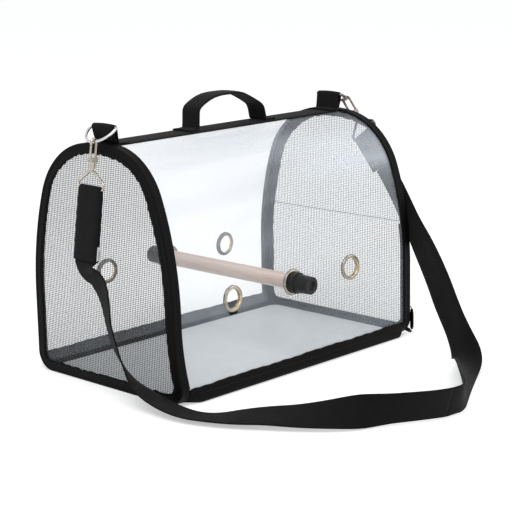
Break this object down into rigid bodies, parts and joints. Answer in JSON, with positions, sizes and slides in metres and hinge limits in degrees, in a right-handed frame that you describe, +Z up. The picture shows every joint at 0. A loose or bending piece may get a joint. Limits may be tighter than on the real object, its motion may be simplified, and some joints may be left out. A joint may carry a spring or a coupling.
{
  "type": "pet bird carrier",
  "caption": "Soft see-through travel carrier for a bird, with mesh ends, a zipped door flap, a perch, a carry handle and a clip-on shoulder strap.",
  "frame": {"origin": "middle of the base, on the surface that the carrier stands on", "axes": "+X along the carrier towards the zipped end, +Y towards the rear clear wall, +Z up"},
  "size_m": [0.4731, 0.5414, 0.3414],
  "materials": {
    "clear_film": "clear soft vinyl, glossy",
    "mesh": "fine woven mesh",
    "base_cloth": "plain black",
    "board": "grey, matt",
    "binding": "black binding tape",
    "hoop_wire": "spring wire",
    "webbing": "ribbed webbing",
    "zip_tape": "zip tape and coil",
    "nickel": "nickel plated",
    "eyelet": "plated brass",
    "wood": "plain turned wood",
    "rubber": "matt black"
  },
  "bodies": {
    "bag": {"front_window": "clear_film", "rear_window": "clear_film", "near_mesh_panel": "mesh", "far_mesh_upper": "mesh", "base_panel": "base_cloth", "floor_board": "board", "front_base_binding": "binding", "rear_base_binding": "binding", "near_end_binding": "binding", "far_end_binding": "binding", "near_hoop": "hoop_wire", "far_hoop": "hoop_wire", "ridge_strip": "webbing", "handle": "webbing", "near_tab": "webbing", "far_tab": "webbing", "frame_zip": "zip_tape", "front_near_eyelet": "eyelet", "front_mid_eyelet": "eyelet", "front_far_eyelet": "eyelet", "rear_near_eyelet": "eyelet", "rear_mid_eyelet": "eyelet", "rear_far_eyelet": "eyelet", "near_strap_run": "webbing", "far_strap_run": "webbing"},
    "flap": {"flap_mesh": "mesh", "flap_zip": "zip_tape"},
    "upper_slider": {"upper_slider": "nickel"},
    "upper_pull": {"upper_pull": "nickel"},
    "lower_slider": {"lower_slider": "nickel"},
    "lower_pull": {"lower_pull": "nickel"},
    "perch": {"perch_rod": "wood"},
    "front_cap": {"front_perch_cap": "rubber"},
    "rear_cap": {"rear_perch_cap": "rubber"},
    "near_ring": {"near_d_ring": "nickel", "near_hook_body": "nickel"},
    "near_gate": {"near_hook_gate": "nickel"},
    "near_eye": {"near_hook_eye": "nickel", "near_strap_fold": "webbing"},
    "slide": {"strap_slide": "nickel"},
    "far_ring": {"far_d_ring": "nickel", "far_hook_body": "nickel"},
    "far_gate": {"far_hook_gate": "nickel"},
    "far_eye": {"far_hook_eye": "nickel", "far_strap_fold": "webbing"}
  },
  "joints": [
    {"name": "flap_fold", "type": "hinge", "parent": "bag", "child": "flap", "pos_m": [0.212, 0, 0.155], "axis": [0, -1, 0], "range_deg": [0, 100]},
    {"name": "upper_slider_run", "type": "slide", "parent": "bag", "child": "upper_slider", "axis": [0, 0, 1], "range_m": [0, 0.055]},
    {"name": "upper_pull_turn", "type": "hinge", "parent": "upper_slider", "child": "upper_pull", "pos_m": [0.2142, -0.1231, 0.0352], "axis": [0, -1, 0], "range_deg": [0, 165]},
    {"name": "lower_slider_run", "type": "slide", "parent": "bag", "child": "lower_slider", "axis": [0, 1, 0], "range_m": [0, 0.19]},
    {"name": "lower_pull_turn", "type": "hinge", "parent": "lower_slider", "child": "lower_pull", "pos_m": [0.2142, -0.0978, 0.0094], "axis": [0, 0, 1], "range_deg": [0, 165]},
    {"name": "perch_spin", "type": "hinge", "parent": "bag", "child": "perch", "pos_m": [0, 0, 0.11], "axis": [0, 1, 0], "continuous": true},
    {"name": "front_cap_pull", "type": "slide", "parent": "perch", "child": "front_cap", "axis": [0, -1, 0], "range_m": [0, 0.03]},
    {"name": "rear_cap_pull", "type": "slide", "parent": "perch", "child": "rear_cap", "axis": [0, 1, 0], "range_m": [0, 0.03]},
    {"name": "near_ring_swing", "type": "hinge", "parent": "bag", "child": "near_ring", "pos_m": [-0.2005, 0, 0.3185], "axis": [0, 1, 0], "range_deg": [0, 50], "deforming": ["near_strap_run"]},
    {"name": "near_gate_open", "type": "hinge", "parent": "near_ring", "child": "near_gate", "pos_m": [-0.2282, -0.00503, 0.28325], "axis": [-0.1465, 0.9887, 0.0311], "range_deg": [0, 20], "stiffness_Nm_per_rad": 0.02, "springref_deg": -14.32},
    {"name": "near_hook_swivel", "type": "hinge", "parent": "near_ring", "child": "near_eye", "pos_m": [-0.22088, -0.00457, 0.30314], "axis": [-0.136, 0.011, -0.9907], "range_deg": [-20, 20]},
    {"name": "strap_adjust", "type": "slide", "parent": "near_eye", "child": "slide", "axis": [0.136, -0.011, 0.9907], "range_m": [0, 0.06]},
    {"name": "far_ring_swing", "type": "hinge", "parent": "bag", "child": "far_ring", "pos_m": [0.2005, 0, 0.3185], "axis": [0, -1, 0], "range_deg": [0, 50], "deforming": ["far_strap_run"]},
    {"name": "far_gate_open", "type": "hinge", "parent": "far_ring", "child": "far_gate", "pos_m": [0.22348, -0.02874, 0.29485], "axis": [-0.6034, -0.6451, 0.4687], "range_deg": [0, 20], "stiffness_Nm_per_rad": 0.02, "springref_deg": -14.32},
    {"name": "far_hook_swivel", "type": "hinge", "parent": "far_ring", "child": "far_eye", "pos_m": [0.2194, -0.01414, 0.30969], "axis": [0.02, -0.5999, -0.7998], "range_deg": [-6, 6]}
  ]
}
